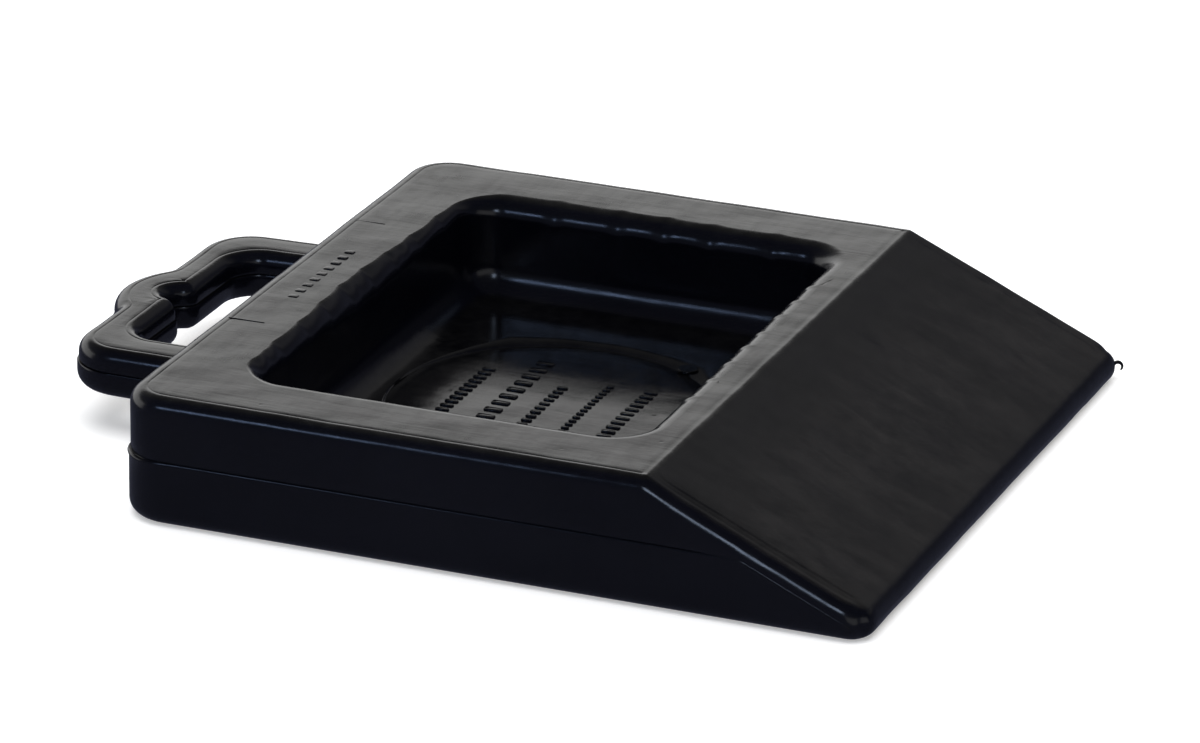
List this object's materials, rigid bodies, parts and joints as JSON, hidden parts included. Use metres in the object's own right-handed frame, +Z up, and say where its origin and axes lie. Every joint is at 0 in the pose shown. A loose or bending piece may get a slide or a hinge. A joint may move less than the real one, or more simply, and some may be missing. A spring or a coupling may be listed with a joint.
{
  "type": "pallet truck wheel stop with ramp",
  "caption": "Low hollow plastic block with a ramp, a rectangular well that holds a pallet truck's steer wheels, and a loop handle with a hanging notch.",
  "frame": {"origin": "middle of the overall bounding box, on the ground plane that the base rests on", "axes": "+X from the carry handle to the ramp's tip, +Y across the body, +Z up"},
  "size_m": [0.3814, 0.305, 0.0525],
  "materials": {
    "black_polyethylene": "satin black moulded polyethylene, scuffed grey on the deck, glossier and bluish on the sides",
    "black_plug": "black plastic plug, smooth"
  },
  "bodies": {
    "root": {"upper_shell": "black_polyethylene", "lower_shell": "black_polyethylene", "vent_plug": "black_plug"}
  },
  "joints": []
}
